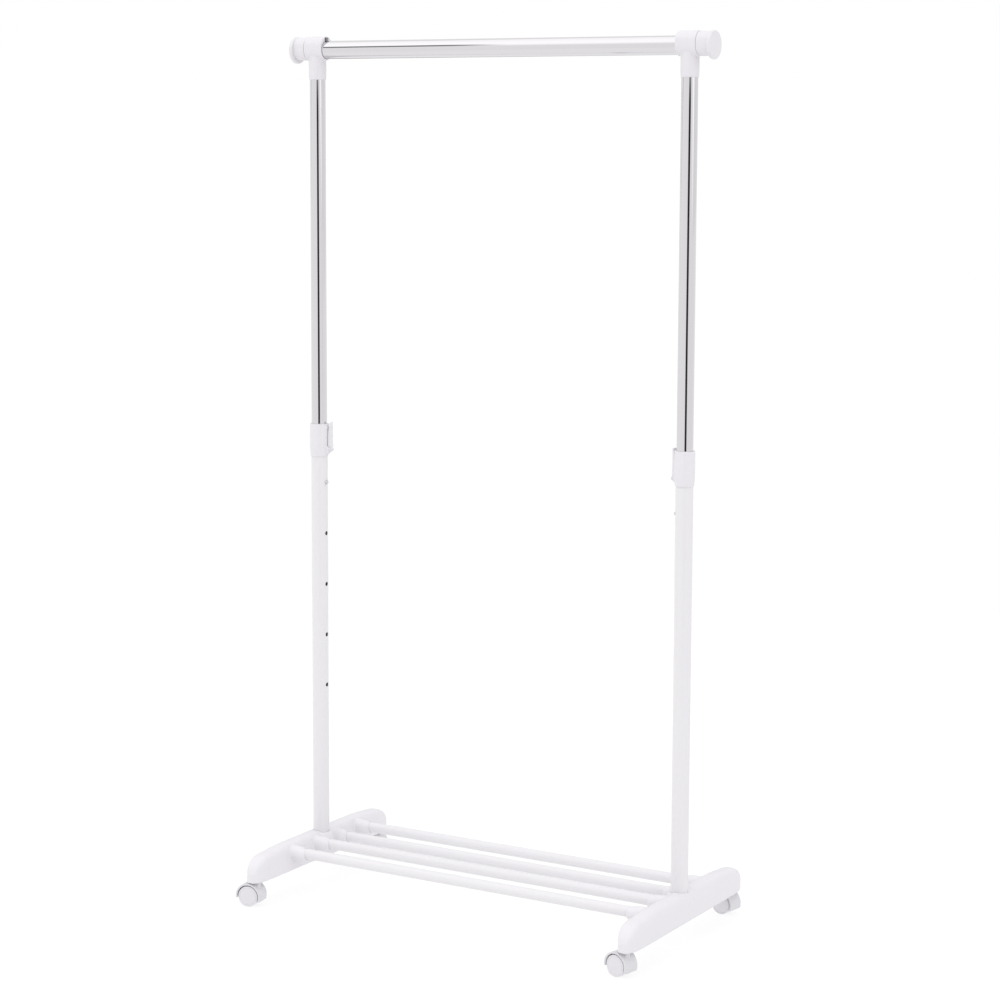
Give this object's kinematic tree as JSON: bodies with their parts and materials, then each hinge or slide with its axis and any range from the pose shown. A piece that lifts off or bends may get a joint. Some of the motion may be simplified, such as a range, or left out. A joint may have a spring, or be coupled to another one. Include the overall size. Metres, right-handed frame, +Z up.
{
  "type": "garment rail",
  "caption": "Free-standing garment rail on twin-wheel casters, with telescoping snap-button uprights, lever collars, draw-out rail ends and a barred shoe shelf between its feet.",
  "frame": {"origin": "on the floor, midway between the two uprights", "axes": "+Z up, +X along the hanging rail towards its right end, -Y towards the front"},
  "size_m": [0.843, 0.4446, 1.5642],
  "materials": {
    "white_paint": "satin white powder coat",
    "white_plastic": "satin white moulding",
    "chrome": "bright plated",
    "steel": "zinc plated",
    "grey_plastic": "satin pale grey moulding",
    "wheel_plastic": "off-white moulding"
  },
  "bodies": {
    "base": {"foot_left": "white_plastic", "tube_insert_left": "steel", "foot_bolt_left": "steel", "lower_tube_left": "white_paint", "collar_left": "white_plastic", "lever_pin_left": "white_plastic", "foot_right": "white_plastic", "tube_insert_right": "steel", "foot_bolt_right": "steel", "lower_tube_right": "white_paint", "collar_right": "white_plastic", "lever_pin_right": "white_plastic", "shelf_bar_1": "white_paint", "shelf_bar_2": "white_paint", "shelf_bar_3": "white_paint", "shelf_bar_4": "white_paint"},
    "upper_frame": {"hanging_rail": "chrome", "upper_tube_left": "chrome", "guide_bush_left": "white_plastic", "tee_left": "white_plastic", "upper_tube_right": "chrome", "guide_bush_right": "white_plastic", "tee_right": "white_plastic"},
    "extension_left": {"extension_rod_left": "chrome", "end_cap_left": "white_plastic"},
    "extension_right": {"extension_rod_right": "chrome", "end_cap_right": "white_plastic"},
    "lever_left": {"lever_left": "white_plastic"},
    "lever_right": {"lever_right": "white_plastic"},
    "button_left": {"snap_clip_left": "steel"},
    "button_right": {"snap_clip_right": "steel"},
    "swivel_front_left": {"caster_stem_front_left": "steel", "caster_hood_front_left": "grey_plastic", "caster_axle_front_left": "steel"},
    "wheel_a_front_left": {"wheel_a_front_left": "wheel_plastic"},
    "wheel_b_front_left": {"wheel_b_front_left": "wheel_plastic"},
    "swivel_front_right": {"caster_stem_front_right": "steel", "caster_hood_front_right": "grey_plastic", "caster_axle_front_right": "steel"},
    "wheel_a_front_right": {"wheel_a_front_right": "wheel_plastic"},
    "wheel_b_front_right": {"wheel_b_front_right": "wheel_plastic"},
    "swivel_rear_left": {"caster_stem_rear_left": "steel", "caster_hood_rear_left": "grey_plastic", "caster_axle_rear_left": "steel"},
    "wheel_a_rear_left": {"wheel_a_rear_left": "wheel_plastic"},
    "wheel_b_rear_left": {"wheel_b_rear_left": "wheel_plastic"},
    "swivel_rear_right": {"caster_stem_rear_right": "steel", "caster_hood_rear_right": "grey_plastic", "caster_axle_rear_right": "steel"},
    "wheel_a_rear_right": {"wheel_a_rear_right": "wheel_plastic"},
    "wheel_b_rear_right": {"wheel_b_rear_right": "wheel_plastic"}
  },
  "joints": [
    {"name": "height_slide", "type": "slide", "parent": "base", "child": "upper_frame", "axis": [0, 0, 1], "range_m": [-0.38, 0]},
    {"name": "extension_left_slide", "type": "slide", "parent": "upper_frame", "child": "extension_left", "axis": [-1, 0, 0], "range_m": [0, 0.25]},
    {"name": "extension_right_slide", "type": "slide", "parent": "upper_frame", "child": "extension_right", "axis": [1, 0, 0], "range_m": [0, 0.25]},
    {"name": "lever_left_flip", "type": "hinge", "parent": "base", "child": "lever_left", "pos_m": [-0.35424, 0.00595, 0.813], "axis": [-0.2756, 0.9613, 0], "range_deg": [0, 100]},
    {"name": "lever_right_flip", "type": "hinge", "parent": "base", "child": "lever_right", "pos_m": [0.35424, 0.00595, 0.813], "axis": [-0.2756, -0.9613, 0], "range_deg": [0, 100]},
    {"name": "button_left_press", "type": "slide", "parent": "upper_frame", "child": "button_left", "axis": [-1, 0, 0], "range_m": [0, 0.0055], "stiffness_N_per_m": 1500, "deforming": ["snap_clip_left"]},
    {"name": "button_right_press", "type": "slide", "parent": "upper_frame", "child": "button_right", "axis": [1, 0, 0], "range_m": [0, 0.0055], "stiffness_N_per_m": 1500, "deforming": ["snap_clip_right"]},
    {"name": "swivel_front_left_turn", "type": "hinge", "parent": "base", "child": "swivel_front_left", "pos_m": [-0.378, -0.201, 0.06], "axis": [0, 0, 1], "continuous": true},
    {"name": "wheel_a_front_left_spin", "type": "hinge", "parent": "swivel_front_left", "child": "wheel_a_front_left", "pos_m": [-0.38982, -0.20308, 0.0188], "axis": [-0.1736, 0.9848, 0], "continuous": true},
    {"name": "wheel_b_front_left_spin", "type": "hinge", "parent": "swivel_front_left", "child": "wheel_b_front_left", "pos_m": [-0.38982, -0.20308, 0.0188], "axis": [-0.1736, 0.9848, 0], "continuous": true},
    {"name": "swivel_front_right_turn", "type": "hinge", "parent": "base", "child": "swivel_front_right", "pos_m": [0.378, -0.201, 0.06], "axis": [0, 0, 1], "continuous": true},
    {"name": "wheel_a_front_right_spin", "type": "hinge", "parent": "swivel_front_right", "child": "wheel_a_front_right", "pos_m": [0.36636, -0.1981, 0.0188], "axis": [0.2419, 0.9703, 0], "continuous": true},
    {"name": "wheel_b_front_right_spin", "type": "hinge", "parent": "swivel_front_right", "child": "wheel_b_front_right", "pos_m": [0.36636, -0.1981, 0.0188], "axis": [0.2419, 0.9703, 0], "continuous": true},
    {"name": "swivel_rear_left_turn", "type": "hinge", "parent": "base", "child": "swivel_rear_left", "pos_m": [-0.378, 0.201, 0.06], "axis": [0, 0, 1], "continuous": true},
    {"name": "wheel_a_rear_left_spin", "type": "hinge", "parent": "swivel_rear_left", "child": "wheel_a_rear_left", "pos_m": [-0.38982, 0.19892, 0.0188], "axis": [-0.1736, 0.9848, 0], "continuous": true},
    {"name": "wheel_b_rear_left_spin", "type": "hinge", "parent": "swivel_rear_left", "child": "wheel_b_rear_left", "pos_m": [-0.38982, 0.19892, 0.0188], "axis": [-0.1736, 0.9848, 0], "continuous": true},
    {"name": "swivel_rear_right_turn", "type": "hinge", "parent": "base", "child": "swivel_rear_right", "pos_m": [0.378, 0.201, 0.06], "axis": [0, 0, 1], "continuous": true},
    {"name": "wheel_a_rear_right_spin", "type": "hinge", "parent": "swivel_rear_right", "child": "wheel_a_rear_right", "pos_m": [0.36618, 0.20308, 0.0188], "axis": [0.1736, 0.9848, 0], "continuous": true},
    {"name": "wheel_b_rear_right_spin", "type": "hinge", "parent": "swivel_rear_right", "child": "wheel_b_rear_right", "pos_m": [0.36618, 0.20308, 0.0188], "axis": [0.1736, 0.9848, 0], "continuous": true}
  ]
}
